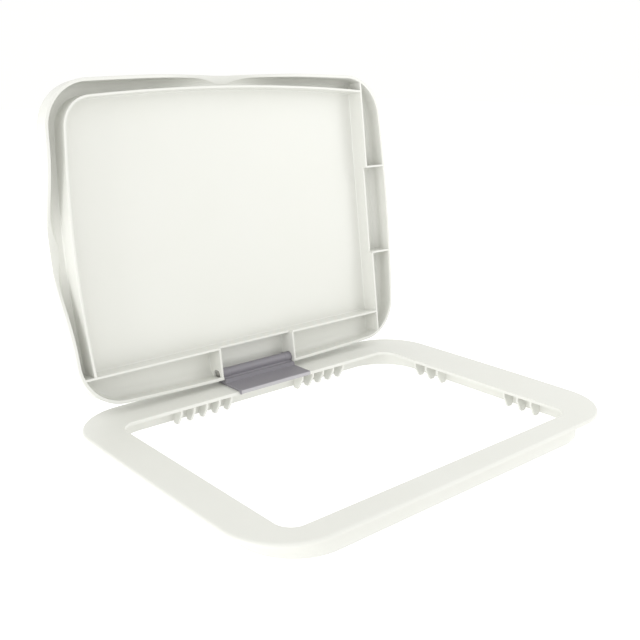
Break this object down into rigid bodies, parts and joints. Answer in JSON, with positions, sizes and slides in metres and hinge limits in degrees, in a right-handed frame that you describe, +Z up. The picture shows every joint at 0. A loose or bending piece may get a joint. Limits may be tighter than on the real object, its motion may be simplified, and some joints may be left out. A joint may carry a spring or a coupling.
{
  "type": "deck hatch",
  "caption": "Rectangular plastic access hatch for a boat deck: flanged frame with a spigot, and a ribbed shell lid on one side hinge.",
  "frame": {"origin": "centre of the clear opening, in the plane of the deck that the flange lies on", "axes": "+X along the hinge, +Y towards the hinge side, +Z up out of the deck; the lid is stored open, at its stop"},
  "size_m": [0.378, 0.3135, 0.2891],
  "materials": {
    "frame_plastic": "satin off-white moulded plastic",
    "lid_plastic": "satin off-white moulded plastic",
    "leaf_plastic": "satin grey moulded plastic",
    "pin_steel": "plain stainless steel"
  },
  "bodies": {
    "frame": {"frame": "frame_plastic", "hinge_leaf": "leaf_plastic"},
    "lid": {"lid": "lid_plastic", "hinge_pin": "pin_steel"}
  },
  "joints": [
    {"name": "lid_hinge", "type": "hinge", "parent": "frame", "child": "lid", "pos_m": [0, 0.1371, 0.0121], "axis": [1, 0, 0], "range_deg": [0, 97.34]}
  ]
}
